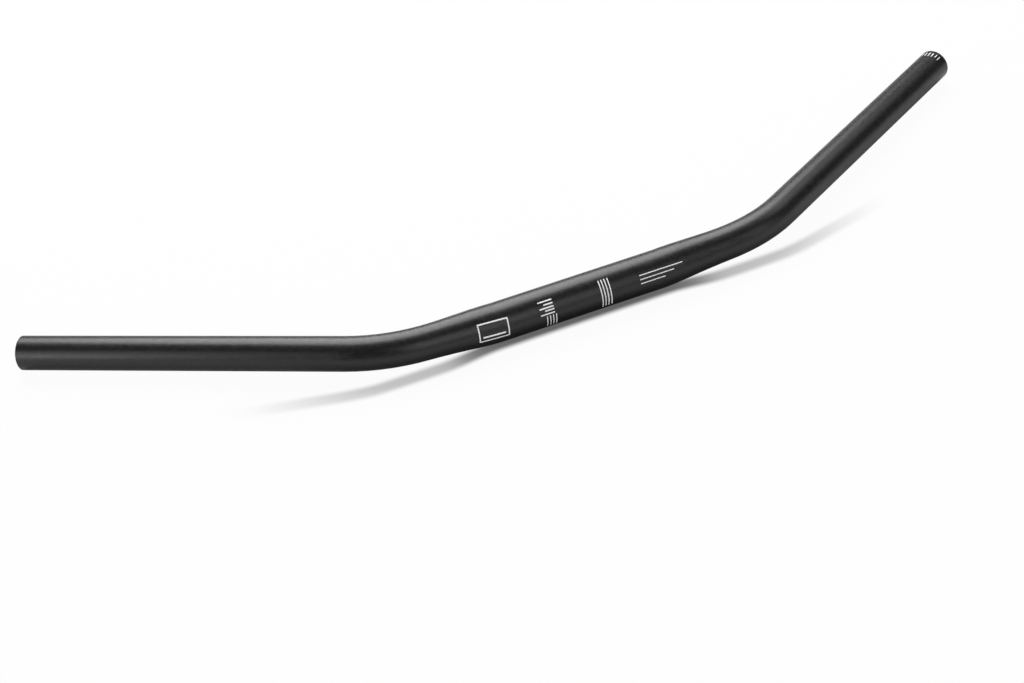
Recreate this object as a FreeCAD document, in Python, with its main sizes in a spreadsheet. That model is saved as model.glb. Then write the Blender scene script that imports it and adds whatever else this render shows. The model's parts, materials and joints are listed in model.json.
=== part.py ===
import FreeCAD, Part
import math
import os

import Sketcher

# Trekking handlebar: one hollow aluminium tube, swaged down at both ends and bent twice on each side.
# X runs along the clamp section, +Y is the way the grips sweep back, +Z is up, and the origin is the
# middle of the clamp. One side is laid out like a tube bender's table, as length, roll and angle from
# station to station along the tube's axis, and the other side is its mirror image.

doc = FreeCAD.newDocument("trekking_handlebar")

# Driving dimensions: lengths in millimetres, angles in degrees.
sheet = doc.addObject("Spreadsheet::Sheet", "sizes")
dimensions = [
    ("clamp_diameter", "25.4", "outside of the section that the stem grips"),
    ("clamp_wall", "2.4", "wall of the clamp section"),
    ("clamp_straight", "107", "straight length of the clamp section, end to end"),
    ("rise_radius", "100", "radius of the small upward bend, on the tube's axis"),
    ("rise_angle", "3", "angle of the small upward bend"),
    ("neck_length", "43.5", "length of the swaged neck between the two diameters"),
    ("neck_blend", "11", "length of each arc that runs the neck's cone into a straight wall"),
    ("sweep_radius", "92", "radius of the main backward bend, on the tube's axis"),
    ("sweep_angle", "32", "angle of the main backward bend"),
    ("sweep_roll_angle", "7.3", "how far the main bend's plane is rolled below level"),
    ("grip_diameter", "22.2", "outside of the grip section"),
    ("grip_wall", "2.2", "wall of the grip section"),
    ("grip_length", "215.7", "straight length of one grip section"),
    ("end_chamfer", "0.5", "broken edge inside and outside at the open ends"),
]
for row, (alias, value, meaning) in enumerate(dimensions, start=1):
    sheet.set("A%d" % row, alias)
    sheet.set("B%d" % row, value)
    sheet.set("C%d" % row, meaning)
    sheet.setAlias("B%d" % row, alias)
doc.recompute()

body = doc.addObject("PartDesign::Body", "handlebar")
body.Label = "handlebar"
body.Placement = FreeCAD.Placement()
origin_planes = {item.Role: item for item in body.Origin.OriginFeatures}

# How a sketch names its own origin, its two axes and the points of a line or an arc.
ORIGIN = (-1, 1)
AXIS = {"level": -1, "upright": -2}
START, END, CENTRE = range(1, 4)


def station(name, before, offset):
    """A frame on the tube's axis, its X along the axis, set off from the frame before it."""
    frame = body.newObject("PartDesign::CoordinateSystem", name)
    frame.AttachmentSupport = [(before, "")]
    frame.MapMode = "ObjectXY"
    frame.setExpression("AttachmentOffset", offset)
    doc.recompute()
    return frame


def sketch_on(name, support, plane):
    """An empty sketch on one plane of a station or of the body's origin."""
    sketch = body.newObject("Sketcher::SketchObject", name)
    sketch.AttachmentSupport = [(support, "")]
    sketch.MapMode = plane
    doc.recompute()
    return sketch


def relate(sketch, kind, *places):
    """A constraint without a value, such as two points that meet."""
    sketch.addConstraint(Sketcher.Constraint(kind, *places))


def measure(sketch, kind, places, drawn, expression):
    """A constraint with a value: added as drawn, then tied to the sheet."""
    index = sketch.addConstraint(Sketcher.Constraint(kind, *places, drawn))
    sketch.setExpression("Constraints[%d]" % index, expression)


def draw_line(sketch, start, end, construction=False):
    """A straight line between two points given as pairs."""
    segment = Part.LineSegment(FreeCAD.Vector(*start, 0), FreeCAD.Vector(*end, 0))
    return sketch.addGeometry(segment, construction)


def draw_ring(sketch, diameter, wall):
    """The tube's section: its outer and inner circle about the sketch's origin."""
    outside = sheet.get(diameter)
    inside = outside - 2 * sheet.get(wall)
    inside_size = "sizes.%s - 2 * sizes.%s" % (diameter, wall)
    for across, expression in ((outside, "sizes.%s" % diameter), (inside, inside_size)):
        circle = Part.Circle(FreeCAD.Vector(0, 0, 0), FreeCAD.Vector(0, 0, 1), across / 2)
        ring = sketch.addGeometry(circle, False)
        relate(sketch, "Coincident", ring, CENTRE, *ORIGIN)
        measure(sketch, "Diameter", (ring,), across, expression)


def draw_bend_axis(sketch, radius, upright):
    """The line that a bend turns about, one bend radius from the tube's axis."""
    reach = sheet.get(radius)
    expression = "sizes.%s" % radius
    if upright:
        axis = draw_line(sketch, (reach, 0), (reach, reach), construction=True)
        relate(sketch, "Vertical", axis)
        relate(sketch, "PointOnObject", axis, START, AXIS["level"])
        measure(sketch, "DistanceX", (*ORIGIN, axis, START), reach, expression)
    else:
        axis = draw_line(sketch, (0, reach), (-reach, reach), construction=True)
        relate(sketch, "Horizontal", axis)
        relate(sketch, "PointOnObject", axis, START, AXIS["upright"])
        measure(sketch, "DistanceY", (*ORIGIN, axis, START), reach, expression)
    measure(sketch, "Distance", (axis,), reach, expression)


def draw_neck_edge(sketch, start_radius, end_radius):
    """One edge of the neck's wall: arc, cone and arc, level where it meets the straight walls.

    Returns the two arcs and which of an arc's points is its outer end.
    """
    length = sheet.neck_length
    blend = sheet.neck_blend
    lean = (start_radius - end_radius) / (length - blend)
    bend = blend / math.sin(lean)
    top = math.pi / 2
    if lean > 0:
        spans = (top - lean, top), (-top - lean, -top)
        outer, inner = END, START
    else:
        spans = (-top, -top - lean), (top, top - lean)
        outer, inner = START, END
    centres = (0, start_radius - bend), (length, end_radius + bend)
    arcs = []
    for centre, span in zip(centres, spans):
        circle = Part.Circle(FreeCAD.Vector(*centre, 0), FreeCAD.Vector(0, 0, 1), abs(bend))
        arcs.append(sketch.addGeometry(Part.ArcOfCircle(circle, *span), False))
    first, last = arcs
    cone_start = sketch.getPoint(first, inner)
    cone_end = sketch.getPoint(last, inner)
    cone = draw_line(sketch, (cone_start.x, cone_start.y), (cone_end.x, cone_end.y))
    relate(sketch, "Tangent", first, inner, cone, START)
    relate(sketch, "Tangent", cone, END, last, inner)
    for arc in arcs:
        relate(sketch, "Vertical", arc, CENTRE, arc, outer)
    relate(sketch, "PointOnObject", first, outer, AXIS["upright"])
    measure(sketch, "DistanceX", (*ORIGIN, last, outer), length, "sizes.neck_length")
    measure(sketch, "DistanceX", (first, outer, first, inner), blend, "sizes.neck_blend")
    measure(sketch, "DistanceX", (last, inner, last, outer), blend, "sizes.neck_blend")
    return first, last, outer


def revolve(name, sketch, axis, angle):
    """Turns a profile about an axis of its own sketch, by an angle or an expression for it."""
    feature = body.newObject("PartDesign::Revolution", name)
    feature.Profile = sketch
    feature.ReferenceAxis = (sketch, [axis])
    if isinstance(angle, str):
        feature.setExpression("Angle", angle)
    else:
        feature.Angle = angle
    doc.recompute()
    return feature


FULL_TURN = 360
clamp_radius = sheet.clamp_diameter / 2
grip_radius = sheet.grip_diameter / 2

# Clamp section: a straight tube, even about the middle plane.
clamp_section = sketch_on("clamp_section", origin_planes["YZ_Plane"], "FlatFace")
draw_ring(clamp_section, "clamp_diameter", "clamp_wall")
clamp_tube = body.newObject("PartDesign::Pad", "clamp_tube")
clamp_tube.Profile = clamp_section
clamp_tube.SideType = "Symmetric"
clamp_tube.setExpression("Length", "sizes.clamp_straight")
doc.recompute()

# Rise: a small bend upwards where the straight clamp section ends.
rise_start = station(
    "rise_start",
    origin_planes["XY_Plane"],
    "placement(vector(sizes.clamp_straight / 2; 0; 0); rotation(vector(0; 0; 1); 0))",
)
rise_section = sketch_on("rise_section", rise_start, "ObjectYZ")
draw_ring(rise_section, "clamp_diameter", "clamp_wall")
draw_bend_axis(rise_section, "rise_radius", upright=False)
rise_bend = revolve("rise_bend", rise_section, "Axis0", "sizes.rise_angle")

# Neck: the wall is swaged from the clamp's diameter to the grip's by a cone between two long arcs.
neck_start = station(
    "neck_start",
    rise_start,
    "placement(vector(sizes.rise_radius * sin(sizes.rise_angle * 1 deg); 0;"
    " sizes.rise_radius * (1 - cos(sizes.rise_angle * 1 deg)));"
    " rotation(vector(0; -1; 0); sizes.rise_angle))",
)
neck_profile = sketch_on("neck_profile", neck_start, "ObjectXY")
out_first, out_last, out_end = draw_neck_edge(neck_profile, clamp_radius, grip_radius)
in_first, in_last, in_end = draw_neck_edge(
    neck_profile, clamp_radius - sheet.clamp_wall, grip_radius - sheet.grip_wall
)
measure(neck_profile, "DistanceY", (*ORIGIN, out_first, out_end), clamp_radius, "sizes.clamp_diameter / 2")
measure(neck_profile, "DistanceY", (*ORIGIN, out_last, out_end), grip_radius, "sizes.grip_diameter / 2")
for outer_arc, inner_arc, wall in ((out_first, in_first, "clamp_wall"), (out_last, in_last, "grip_wall")):
    outside = neck_profile.getPoint(outer_arc, out_end)
    inside = neck_profile.getPoint(inner_arc, in_end)
    closing = draw_line(neck_profile, (inside.x, inside.y), (outside.x, outside.y))
    relate(neck_profile, "Coincident", closing, START, inner_arc, in_end)
    relate(neck_profile, "Coincident", closing, END, outer_arc, out_end)
    measure(neck_profile, "Distance", (closing,), sheet.get(wall), "sizes.%s" % wall)
neck = revolve("neck", neck_profile, "H_Axis", FULL_TURN)

# Sweep: the main bend backwards, in a plane rolled a little below level.
sweep_start = station(
    "sweep_start",
    neck_start,
    "placement(vector(sizes.neck_length; 0; 0); rotation(vector(-1; 0; 0); sizes.sweep_roll_angle))",
)
sweep_section = sketch_on("sweep_section", sweep_start, "ObjectYZ")
draw_ring(sweep_section, "grip_diameter", "grip_wall")
draw_bend_axis(sweep_section, "sweep_radius", upright=True)
sweep_bend = revolve("sweep_bend", sweep_section, "Axis0", "sizes.sweep_angle")

# Grip: a straight tube with its open end's edges broken inside and outside.
grip_start = station(
    "grip_start",
    sweep_start,
    "placement(vector(sizes.sweep_radius * sin(sizes.sweep_angle * 1 deg);"
    " sizes.sweep_radius * (1 - cos(sizes.sweep_angle * 1 deg)); 0);"
    " rotation(vector(0; 0; 1); sizes.sweep_angle))",
)
grip_profile = sketch_on("grip_profile", grip_start, "ObjectXY")
bore_radius = grip_radius - sheet.grip_wall
corners = [
    (0, bore_radius),
    (0, grip_radius),
    (sheet.grip_length - sheet.end_chamfer, grip_radius),
    (sheet.grip_length, grip_radius - sheet.end_chamfer),
    (sheet.grip_length, bore_radius + sheet.end_chamfer),
    (sheet.grip_length - sheet.end_chamfer, bore_radius),
]
sides = [
    draw_line(grip_profile, corner, corners[(number + 1) % len(corners)])
    for number, corner in enumerate(corners)
]
for number, side in enumerate(sides):
    relate(grip_profile, "Coincident", side, END, sides[(number + 1) % len(sides)], START)
root_side, outer_side, outer_chamfer, end_side, inner_chamfer, bore_side = sides
relate(grip_profile, "PointOnObject", root_side, START, AXIS["upright"])
relate(grip_profile, "Vertical", root_side)
relate(grip_profile, "Vertical", end_side)
relate(grip_profile, "Horizontal", outer_side)
relate(grip_profile, "Horizontal", bore_side)
measure(grip_profile, "DistanceY", (*ORIGIN, root_side, END), grip_radius, "sizes.grip_diameter / 2")
measure(grip_profile, "Distance", (root_side,), sheet.grip_wall, "sizes.grip_wall")
measure(grip_profile, "DistanceX", (*ORIGIN, end_side, START), sheet.grip_length, "sizes.grip_length")
for left, right, low, high in (
    ((outer_chamfer, START), (outer_chamfer, END), (outer_chamfer, END), (outer_chamfer, START)),
    ((inner_chamfer, END), (inner_chamfer, START), (inner_chamfer, END), (inner_chamfer, START)),
):
    measure(grip_profile, "DistanceX", (*left, *right), sheet.end_chamfer, "sizes.end_chamfer")
    measure(grip_profile, "DistanceY", (*low, *high), sheet.end_chamfer, "sizes.end_chamfer")
grip_tube = revolve("grip_tube", grip_profile, "H_Axis", FULL_TURN)

# The other side is the mirror image across the middle of the clamp.
other_side = body.newObject("PartDesign::Mirrored", "other_side")
other_side.Originals = [rise_bend, neck, sweep_bend, grip_tube]
other_side.MirrorPlane = (origin_planes["YZ_Plane"], [""])
body.Tip = other_side
doc.recompute()

# Nothing is written unless every object came out whole.
for item in doc.Objects:
    if "Invalid" in item.State or "Error" in item.State:
        raise RuntimeError("%s failed: %s" % (item.Label, item.State))
if body.Shape.isNull() or not body.Shape.isValid() or len(body.Shape.Solids) != 1:
    raise RuntimeError("the handlebar is not one sound solid")

os.makedirs("parts", exist_ok=True)
body.Shape.exportStep("parts/%s.step" % body.Label)

box = body.Shape.optimalBoundingBox()
print("width %.2f, depth %.2f, height %.2f" % (box.XLength, box.YLength, box.ZLength))
print("lowest %.3f, highest %.3f, volume %.0f" % (box.ZMin, box.ZMax, body.Shape.Volume))
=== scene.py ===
import json
import math

import bpy
from mathutils import Matrix, Vector


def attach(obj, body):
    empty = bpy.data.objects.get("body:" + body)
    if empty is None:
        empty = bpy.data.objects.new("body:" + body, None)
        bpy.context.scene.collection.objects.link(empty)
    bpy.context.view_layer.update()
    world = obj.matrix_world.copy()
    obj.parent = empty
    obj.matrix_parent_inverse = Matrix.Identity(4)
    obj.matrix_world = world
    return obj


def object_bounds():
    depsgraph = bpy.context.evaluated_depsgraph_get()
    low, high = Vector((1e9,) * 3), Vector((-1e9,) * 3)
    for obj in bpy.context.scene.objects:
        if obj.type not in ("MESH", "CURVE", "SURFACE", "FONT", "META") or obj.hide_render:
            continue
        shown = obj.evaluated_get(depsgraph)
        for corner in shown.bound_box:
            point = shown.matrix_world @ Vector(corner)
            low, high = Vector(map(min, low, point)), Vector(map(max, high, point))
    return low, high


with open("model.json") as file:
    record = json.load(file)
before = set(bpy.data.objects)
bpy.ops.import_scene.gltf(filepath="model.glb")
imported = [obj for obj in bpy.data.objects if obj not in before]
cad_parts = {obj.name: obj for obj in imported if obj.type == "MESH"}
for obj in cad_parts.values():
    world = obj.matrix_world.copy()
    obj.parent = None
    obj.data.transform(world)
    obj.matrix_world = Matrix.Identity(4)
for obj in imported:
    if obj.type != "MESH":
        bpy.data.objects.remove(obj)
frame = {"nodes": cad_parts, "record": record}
cad_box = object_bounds()
scene = bpy.context.scene

# The bar: one aluminium tube, drawn, swaged down at both ends, bent, blasted with fine grit and
# anodised black. The dyed oxide is a thin, hard, satin skin, so the grit's grain shows through it.
bar = frame["nodes"]["handlebar"]
drift_weight = 2.5
pit_depth = 0.00002
deep_black = (0.0044, 0.0044, 0.0046, 1)
thin_black = (0.0104, 0.0104, 0.0108, 1)


def fed(tree, socket, term):
    # a term is a value to set, or another node's output to link
    if isinstance(term, bpy.types.NodeSocket):
        tree.links.new(term, socket)
    else:
        socket.default_value = term


def reckoned(tree, operation, *terms):
    # one step of arithmetic
    step = tree.nodes.new("ShaderNodeMath")
    step.operation = operation
    for socket, term in zip(step.inputs, terms):
        fed(tree, socket, term)
    return step.outputs[0]


def graded(tree, value, start, end, low, high, interpolation="LINEAR"):
    # goes from low to high while the value goes from start to end
    step = tree.nodes.new("ShaderNodeMapRange")
    step.interpolation_type = interpolation
    fed(tree, step.inputs["Value"], value)
    fed(tree, step.inputs["From Min"], start)
    fed(tree, step.inputs["From Max"], end)
    fed(tree, step.inputs["To Min"], low)
    fed(tree, step.inputs["To Max"], high)
    return step.outputs["Result"]


def coloured(tree, value, start, end, low_colour, high_colour):
    # goes from one colour to the other while the value goes from start to end
    ramp = tree.nodes.new("ShaderNodeValToRGB")
    low, high = ramp.color_ramp.elements
    low.position = start
    low.color = low_colour
    high.position = end
    high.color = high_colour
    tree.links.new(value, ramp.inputs["Fac"])
    return ramp.outputs["Color"]


blasted = bpy.data.node_groups.new("blasted_grain", "ShaderNodeTree")
blasted.interface.new_socket("Vector", in_out="INPUT", socket_type="NodeSocketVector")
blasted.interface.new_socket("Grain Scale", in_out="INPUT", socket_type="NodeSocketFloat")
blasted.interface.new_socket("Cloud Scale", in_out="INPUT", socket_type="NodeSocketFloat")
blasted.interface.new_socket("Height", in_out="OUTPUT", socket_type="NodeSocketFloat")
blasted.interface.new_socket("Cloud", in_out="OUTPUT", socket_type="NodeSocketFloat")
entry = blasted.nodes.new("NodeGroupInput")
leave = blasted.nodes.new("NodeGroupOutput")
pits = blasted.nodes.new("ShaderNodeTexNoise")
pits.inputs["Detail"].default_value = 4.0
pits.inputs["Roughness"].default_value = 0.62
blasted.links.new(entry.outputs["Vector"], pits.inputs["Vector"])
blasted.links.new(entry.outputs["Grain Scale"], pits.inputs["Scale"])
drift = blasted.nodes.new("ShaderNodeTexNoise")
drift.inputs["Detail"].default_value = 3.0
drift.inputs["Roughness"].default_value = 0.7
blasted.links.new(entry.outputs["Vector"], drift.inputs["Vector"])
blasted.links.new(entry.outputs["Cloud Scale"], drift.inputs["Scale"])
relief = reckoned(blasted, "MULTIPLY_ADD", drift.outputs["Fac"], drift_weight, pits.outputs["Fac"])
blasted.links.new(relief, leave.inputs["Height"])
blasted.links.new(drift.outputs["Fac"], leave.inputs["Cloud"])


def grained(name, grain_scale, cloud_scale, depth):
    # a finish with the blasted grain in its relief, handed back with its shader and the grain
    finish = bpy.data.materials.new(name)
    finish.use_nodes = True
    tree = finish.node_tree
    shader = tree.nodes["Principled BSDF"]
    place = tree.nodes.new("ShaderNodeTexCoord")
    grain = tree.nodes.new("ShaderNodeGroup")
    grain.node_tree = blasted
    grain.inputs["Grain Scale"].default_value = grain_scale
    grain.inputs["Cloud Scale"].default_value = cloud_scale
    tree.links.new(place.outputs["Object"], grain.inputs["Vector"])
    bump = tree.nodes.new("ShaderNodeBump")
    bump.inputs["Strength"].default_value = 1.0
    bump.inputs["Distance"].default_value = depth
    tree.links.new(grain.outputs["Height"], bump.inputs["Height"])
    tree.links.new(bump.outputs["Normal"], shader.inputs["Normal"])
    return finish, shader, grain


anodised, shader, grain = grained("black_anodised_satin", 1000.0, 400.0, pit_depth)
tree = anodised.node_tree
dye = coloured(tree, grain.outputs["Cloud"], 0.30, 0.70, deep_black, thin_black)
tree.links.new(dye, shader.inputs["Base Color"])
satin = graded(tree, grain.outputs["Height"], 1.35, 2.15, 0.31, 0.41)
tree.links.new(satin, shader.inputs["Roughness"])
shader.inputs["IOR"].default_value = 1.50
bar.material_slots[0].material = anodised

# Angle scale: five rungs with four short arcs below them, by which the bar's turn in the stem is set.
# White ink, screen printed on the finished tube and baked, a film that stands 0.04 mm proud.
mounts = {mount["name"]: mount for mount in frame["record"]["mounts"]}
clamp_radius = mounts["stem_clamp"]["dims"]["r_mm"] / 1000
film = 0.00008
ink_depth = 0.00001
thin_white = (0.62, 0.62, 0.61, 1)
full_white = (0.95, 0.95, 0.94, 1)
spin_step = 2.5
weld = 1e-7
crease = math.radians(30)
scale_edge = -0.0204
rung_thickness = 3.9
long_rung = 0.0094
short_rung = 0.0062
rungs = ((37.8, long_rung), (47.9, short_rung), (57.5, long_rung), (65.7, short_rung), (75.5, long_rung))
arc_places = (-0.0259, -0.0238, -0.0218, -0.0198)
arc_width = 0.0006
arc_from = 82.0
arc_to = 121.0

ink, shader, grain = grained("white_print_ink", 1400.0, 420.0, ink_depth)
tree = ink.node_tree
cover = coloured(tree, grain.outputs["Cloud"], 0.28, 0.46, thin_white, full_white)
tree.links.new(cover, shader.inputs["Base Color"])
dried = graded(tree, grain.outputs["Cloud"], 0.0, 1.0, 0.42, 0.62)
tree.links.new(dried, shader.inputs["Roughness"])


def ink_film(x_middle, x_length, angle_from, angle_to):
    # the film's section stands on the tube and is spun round its axis; angles run from up to front
    bpy.ops.object.select_all(action="DESELECT")
    bpy.ops.mesh.primitive_plane_add(
        size=1.0, location=(x_middle, 0, clamp_radius), rotation=(math.radians(90), 0, 0)
    )
    mark = bpy.context.object
    mark.scale = (x_length, film, 1)
    bpy.ops.object.transform_apply(location=True, rotation=True, scale=True)
    mark.rotation_euler.x = math.radians(angle_from)
    bpy.ops.object.transform_apply(location=True, rotation=True, scale=True)
    bpy.ops.object.mode_set(mode="EDIT")
    bpy.ops.mesh.select_all(action="SELECT")
    sweep = angle_to - angle_from
    steps = max(2, round(sweep / spin_step))
    bpy.ops.mesh.spin(steps=steps, angle=math.radians(sweep), center=(0, 0, 0), axis=(-1, 0, 0))
    bpy.ops.mesh.select_all(action="SELECT")
    bpy.ops.mesh.remove_doubles(threshold=weld)
    bpy.ops.mesh.normals_make_consistent(inside=False)
    bpy.ops.object.mode_set(mode="OBJECT")
    return mark


def row_of_films(places, width, angle_from, angle_to):
    # one arc is made at the first place and copied to the others, each copy with its own mesh
    first = ink_film(places[0], width, angle_from, angle_to)
    row = [first]
    for place in places[1:]:
        bpy.ops.object.select_all(action="DESELECT")
        first.select_set(True)
        bpy.context.view_layer.objects.active = first
        bpy.ops.object.duplicate(linked=False)
        copy = bpy.context.object
        copy.location.x = place - places[0]
        bpy.ops.object.transform_apply(location=True, rotation=True, scale=True)
        row.append(copy)
    return row


def printed(name, marks):
    # the marks of one print become one piece, in ink, on the tube
    bpy.ops.object.select_all(action="DESELECT")
    for mark in marks:
        mark.select_set(True)
    bpy.context.view_layer.objects.active = marks[0]
    bpy.ops.object.join()
    piece = bpy.context.object
    piece.name = name
    piece.data.materials.clear()
    piece.data.materials.append(ink)
    bpy.ops.object.shade_smooth_by_angle(angle=crease)
    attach(piece, "root")


marks = []
for angle, length in rungs:
    rung_from = angle - rung_thickness / 2
    rung_to = angle + rung_thickness / 2
    marks.append(ink_film(scale_edge - length / 2, length, rung_from, rung_to))
marks += row_of_films(arc_places, arc_width, arc_from, arc_to)
printed("angle_scale", marks)

# Centring lines: four parallel arcs round the clamp, by which the bar is set to the middle of the stem.
# The same ink, printed in the same pass.
line_places = (0.0119, 0.0139, 0.0159, 0.0180)
line_width = 0.0007
line_from = 30.0
line_to = 117.5
printed("centring_lines", row_of_films(line_places, line_width, line_from, line_to))

# Label field: a plain empty outline with one line in it, printed half on the clamp and half on the neck.
# The same ink. It is drawn flat, laid on the tube along its normal and given the film's thickness.
field_place = -0.0611
field_turn = math.radians(74.5)
field_rise = 0.00045
field_lean = math.radians(-3.1)
field_width = 0.0201
field_height = 0.0121
field_line = 0.0008
underline_length = 0.0150
underline_height = 0.0011
underline_drop = 0.0030
outline_cuts = 14
underline_cuts = 6
stand_off = 0.02


def flat_mark(width, height, up, lean, middle, turn):
    # a rectangle that stands off the tube and faces it at an angle; up shifts it in its own plane
    bpy.ops.object.select_all(action="DESELECT")
    bpy.ops.mesh.primitive_plane_add(size=1.0)
    mark = bpy.context.object
    mark.scale = (width, height, 1)
    bpy.ops.object.transform_apply(location=True, rotation=True, scale=True)
    mark.location.y = up
    bpy.ops.object.transform_apply(location=True, rotation=True, scale=True)
    mark.rotation_euler.z = lean
    bpy.ops.object.transform_apply(location=True, rotation=True, scale=True)
    mark.rotation_euler.x = turn
    mark.location = middle + stand_off * Vector((0, -math.sin(turn), math.cos(turn)))
    return mark


def laid_on_tube(mark, cuts):
    # the flat drawing is cut finely, pressed on to the bar along its own normal and made a closed film
    bpy.ops.object.select_all(action="DESELECT")
    mark.select_set(True)
    bpy.context.view_layer.objects.active = mark
    bpy.ops.object.mode_set(mode="EDIT")
    bpy.ops.mesh.select_all(action="SELECT")
    bpy.ops.mesh.subdivide(number_cuts=cuts)
    bpy.ops.object.mode_set(mode="OBJECT")
    press = mark.modifiers.new("press", "SHRINKWRAP")
    press.target = bar
    press.wrap_method = "PROJECT"
    press.use_project_z = True
    press.use_negative_direction = True
    press.use_positive_direction = False
    press.offset = film / 2
    bpy.ops.object.modifier_apply(modifier="press")
    body = mark.modifiers.new("body", "SOLIDIFY")
    body.thickness = film
    body.offset = -1.0
    bpy.ops.object.modifier_apply(modifier="body")
    bpy.ops.object.transform_apply(location=True, rotation=True, scale=True)
    return mark


field_up = Vector((0, math.cos(field_turn), math.sin(field_turn)))
field_middle = Vector((field_place, 0, 0)) + field_rise * field_up
outline = flat_mark(field_width, field_height, 0, field_lean, field_middle, field_turn)
bpy.ops.object.mode_set(mode="EDIT")
bpy.ops.mesh.select_all(action="SELECT")
bpy.ops.mesh.inset(thickness=field_line)
bpy.ops.mesh.delete(type="ONLY_FACE")
bpy.ops.object.mode_set(mode="OBJECT")
laid_on_tube(outline, outline_cuts)
underline = flat_mark(
    underline_length, underline_height, -underline_drop, field_lean, field_middle, field_turn
)
laid_on_tube(underline, underline_cuts)
printed("label_field", [outline, underline])

# Side stripes: three thin plain lines of stepped length, printed along the tube at the clamp's other end.
# The same ink, laid on in the same way.
stripe_turn = math.radians(66.0)
stripe_start = 0.0385
stripe_line = 0.0006
stripe_pitch = 0.0027
stripe_lengths = (0.0300, 0.0235, 0.0170)
stripe_cuts = 16
stripes = []
for row, length in enumerate(stripe_lengths):
    stripe_middle = Vector((stripe_start + length / 2, 0, 0))
    stripe_up = stripe_pitch * (1 - row)
    stripe = flat_mark(length, stripe_line, stripe_up, 0, stripe_middle, stripe_turn)
    stripes.append(laid_on_tube(stripe, stripe_cuts))
printed("side_stripes", stripes)

# Trim marks: a row of short ticks at the rim of one grip, which show where the end has been cut.
# The same ink, laid on in the same way. The grip's mount gives their place.
grip = mounts["left_grip"]
grip_run = Vector(grip["axis"]).normalized()
grip_end = Vector(grip["pos_m"]) + grip["dims"]["length_mm"] / 2000 * grip_run
grip_up = (Vector((0, 0, 1)) - grip_run.z * grip_run).normalized()
grip_front = grip_run.cross(grip_up)
tick_inset = 0.0029
tick_width = 0.0006
long_tick = 0.0046
short_tick = 0.0036
tick_rows = (
    (-32, short_tick), (-19, long_tick), (-6, long_tick), (7, long_tick), (20, short_tick), (33, long_tick)
)
tick_cuts = 3
ticks = []
for angle, length in tick_rows:
    out = math.cos(math.radians(angle)) * grip_up + math.sin(math.radians(angle)) * grip_front
    side = out.cross(grip_run)
    seat = grip_end - (tick_inset + length / 2) * grip_run + stand_off * out
    bpy.ops.object.select_all(action="DESELECT")
    bpy.ops.mesh.primitive_plane_add(size=1.0)
    tick = bpy.context.object
    tick.scale = (length, tick_width, 1)
    bpy.ops.object.transform_apply(location=True, rotation=True, scale=True)
    tick.matrix_world = Matrix.Translation(seat) @ Matrix((grip_run, side, out)).transposed().to_4x4()
    bpy.context.view_layer.update()
    ticks.append(laid_on_tube(tick, tick_cuts))
printed("trim_marks", ticks)

# Floor: a wide, matt, pale card that the bar lies on, plain white to the camera. Under the clamp its
# colour is darkened as a painted shade, and the bar's own shadow shows there. Beyond the clamp a painted
# shadow, which the flat-lying bar doesn't cast, follows a line that sweeps back on both sides, and thins
# out along it.
floor_level = cad_box[0][2]
floor_size = 12.0
pale_tone = (0.60, 0.60, 0.60, 1)
# painted shade: the floor's dark colour close under the clamp, and how far it reaches
painted_shade_tone = (0.09, 0.09, 0.09, 1)
painted_shade_stretch = (1.7, 11.0, 1.0)
painted_shade_start = 0.08
painted_shade_end = 0.45
mirror_share = 0.133
white_share = 0.96
# painted shadow: the band's width about its line, where the line runs, and how much white shows on it
painted_shadow_core = 0.0020
painted_shadow_edge = 0.0085
painted_shadow_line = (
    (0, -0.0058), (0.06, -0.0060), (0.10, -0.0103), (0.14, -0.0100),
    (0.185, 0), (0.246, 0.0177), (1, 0.24),
)
painted_shadow_share = (
    (0, 0.10), (0.06, 0.12), (0.10, 0.46), (0.15, 0.52),
    (0.20, 0.72), (0.25, white_share), (1, white_share),
)
bpy.ops.object.select_all(action="DESELECT")
bpy.ops.mesh.primitive_plane_add(size=floor_size, location=(0, 0, floor_level))
floor = bpy.context.object
floor.name = "floor"
pale = bpy.data.materials.new("pale_floor")
pale.use_nodes = True
tree = pale.node_tree
shader = tree.nodes["Principled BSDF"]
shader.inputs["Roughness"].default_value = 0.9
white = tree.nodes.new("ShaderNodeEmission")
white.inputs["Color"].default_value = (1, 1, 1, 1)
white.inputs["Strength"].default_value = 1.0


def drawn(tree, value, points):
    # a smooth curve through points, read at the value
    curve = tree.nodes.new("ShaderNodeFloatCurve")
    curve.mapping.use_clip = False
    knots = curve.mapping.curves[0].points
    for knot, point in zip(knots, (points[0], points[-1])):
        knot.location = point
    for point in points[1:-1]:
        knots.new(*point)
    for knot in knots:
        knot.handle_type = "AUTO_CLAMPED"
    curve.mapping.update()
    tree.links.new(value, curve.inputs["Value"])
    return curve.outputs["Value"]


spot = tree.nodes.new("ShaderNodeTexCoord")
stretch = tree.nodes.new("ShaderNodeVectorMath")
stretch.operation = "MULTIPLY"
stretch.inputs[1].default_value = painted_shade_stretch
tree.links.new(spot.outputs["Object"], stretch.inputs[0])
reach = tree.nodes.new("ShaderNodeVectorMath")
reach.operation = "LENGTH"
tree.links.new(stretch.outputs[0], reach.inputs[0])
clear = graded(tree, reach.outputs["Value"], painted_shade_start, painted_shade_end, 0.0, 1.0, "SMOOTHSTEP")
# painted shade: the floor's colour goes from deep under the clamp to pale away from it
pale_with_painted_shade = tree.nodes.new("ShaderNodeMix")
pale_with_painted_shade.data_type = "RGBA"
pale_with_painted_shade.inputs["A"].default_value = painted_shade_tone
pale_with_painted_shade.inputs["B"].default_value = pale_tone
tree.links.new(clear, pale_with_painted_shade.inputs["Factor"])
tree.links.new(pale_with_painted_shade.outputs["Result"], shader.inputs["Base Color"])

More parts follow.
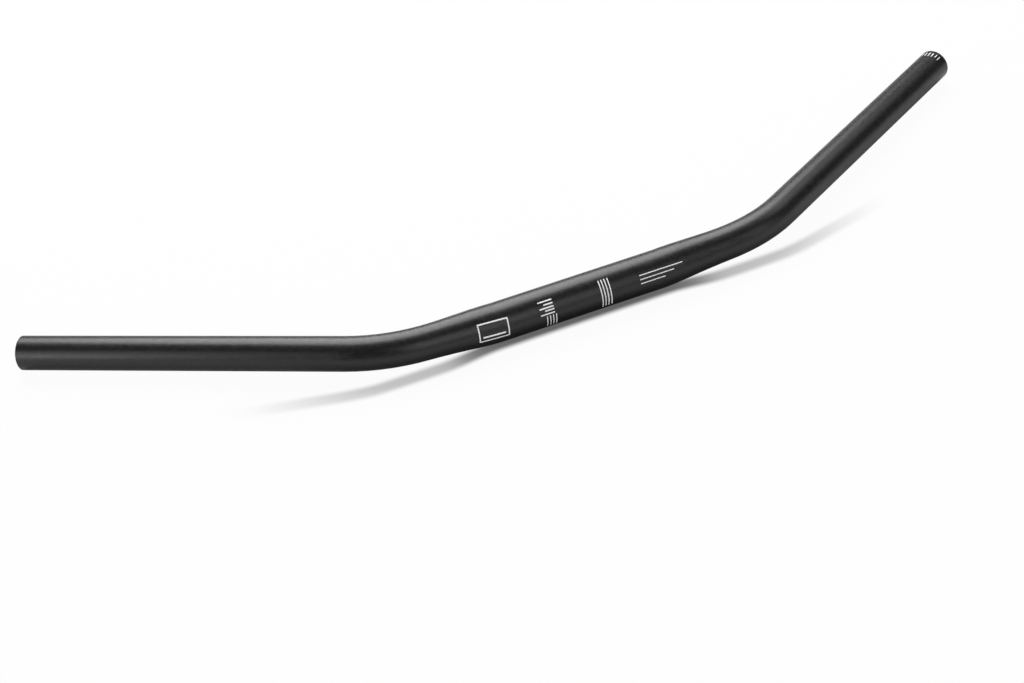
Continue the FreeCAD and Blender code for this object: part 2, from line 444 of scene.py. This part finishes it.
# the white share drops along a line: under the clamp the bar's own shadow shows, beyond it a painted
# shadow
apart = tree.nodes.new("ShaderNodeSeparateXYZ")
tree.links.new(spot.outputs["Object"], apart.inputs[0])
aside = reckoned(tree, "ABSOLUTE", apart.outputs["X"])
off = reckoned(tree, "SUBTRACT", apart.outputs["Y"], drawn(tree, aside, painted_shadow_line))
across = reckoned(tree, "ABSOLUTE", off)
least = drawn(tree, aside, painted_shadow_share)
white_with_painted_shadow = graded(tree, across, painted_shadow_core, painted_shadow_edge, least, white_share, "SMOOTHSTEP")

path = tree.nodes.new("ShaderNodeLightPath")
mirrored = reckoned(tree, "ADD", path.outputs["Is Glossy Ray"], path.outputs["Is Transmission Ray"])
# painted shade in reflections: under the clamp the tube mirrors less of the floor's white
mirrored_white_with_painted_shade = graded(tree, clear, 0.0, 1.0, 0.0, mirror_share)
reflected = reckoned(tree, "MULTIPLY", mirrored, mirrored_white_with_painted_shade)
share = reckoned(tree, "MULTIPLY_ADD", path.outputs["Is Camera Ray"], white_with_painted_shadow, reflected)
mix = tree.nodes.new("ShaderNodeMixShader")
tree.links.new(share, mix.inputs["Fac"])
tree.links.new(shader.outputs["BSDF"], mix.inputs[1])
tree.links.new(white.outputs["Emission"], mix.inputs[2])
tree.links.new(mix.outputs["Shader"], tree.nodes["Material Output"].inputs["Surface"])
floor.data.materials.append(pale)

# Light: a broad round soft box behind and above the bar, a strip and a low card to its left, and three
# weak cards in front and to the right, which give the tube its run of bright and dark bands. The fill
# card by the camera is polarised: it lights the ink and isn't mirrored in the tube.
for name, shape, azimuth, elevation, distance, width, height, power, in_gloss in (
    ("back_box", "DISK", 8, 51, 1.60, 1.75, 1.75, 42.1, True),
    ("left_strip", "RECTANGLE", -105, 20, 1.50, 0.48, 0.95, 2.5, True),
    ("left_low_card", "RECTANGLE", -100, 9, 1.60, 0.75, 0.50, 4.5, True),
    ("front_card", "RECTANGLE", 172, 27, 1.80, 0.60, 1.20, 5.0, True),
    ("right_front_card", "RECTANGLE", 133, 22, 1.80, 0.65, 1.20, 2.9, True),
    ("right_card", "RECTANGLE", 75, 42, 1.80, 0.90, 0.40, 2.8, True),
    ("fill_card", "RECTANGLE", -165, 36, 1.80, 0.60, 0.60, 6.0, False),
):
    turn = math.radians(azimuth)
    lift = math.radians(elevation)
    towards = Vector((math.sin(turn) * math.cos(lift), math.cos(turn) * math.cos(lift), math.sin(lift)))
    bpy.ops.object.light_add(type="AREA", location=towards * distance)
    lamp = bpy.context.object
    lamp.name = name
    lamp.rotation_euler = (-towards).to_track_quat("-Z", "Y").to_euler()
    lamp.data.shape = shape
    lamp.data.size = width
    lamp.data.size_y = height
    lamp.data.energy = power
    lamp.visible_glossy = in_gloss

# Room: the dim, even light that comes back from the studio's walls, a little stronger where the tube
# mirrors them. The camera itself sees plain white.
room_level = 0.050
room_mirror = 0.010
world = bpy.data.worlds.new("studio")
scene.world = world
world.use_nodes = True
tree = world.node_tree
backdrop = tree.nodes["Background"]
backdrop.inputs["Color"].default_value = (1, 1, 1, 1)
path = tree.nodes.new("ShaderNodeLightPath")
mirrored = reckoned(tree, "ADD", path.outputs["Is Glossy Ray"], path.outputs["Is Transmission Ray"])
room = reckoned(tree, "MULTIPLY_ADD", mirrored, room_mirror, room_level)
haze = reckoned(tree, "MAXIMUM", room, path.outputs["Is Camera Ray"])
tree.links.new(haze, backdrop.inputs["Strength"])

# Camera: it looks down on the bar from the front left, as the photograph does. A short telephoto lens
# on a full frame, rolled a little, so that the bar climbs to the right.
camera_place = Vector((-0.3260, -0.9292, 0.7270))
camera_aim = Vector((-0.05403, -0.02297, 0.0))
camera_roll = math.radians(-8.135)
camera_data = bpy.data.cameras.new("camera")
camera_data.sensor_width = 36.0
camera_data.lens = 68.22
camera_data.clip_end = 50.0
camera = bpy.data.objects.new("camera", camera_data)
scene.collection.objects.link(camera)
look = (camera_aim - camera_place).to_track_quat("-Z", "Y").to_matrix().to_4x4()
camera.matrix_world = Matrix.Translation(camera_place) @ look @ Matrix.Rotation(camera_roll, 4, "Z")
scene.camera = camera

scene.view_settings.view_transform = "Standard"
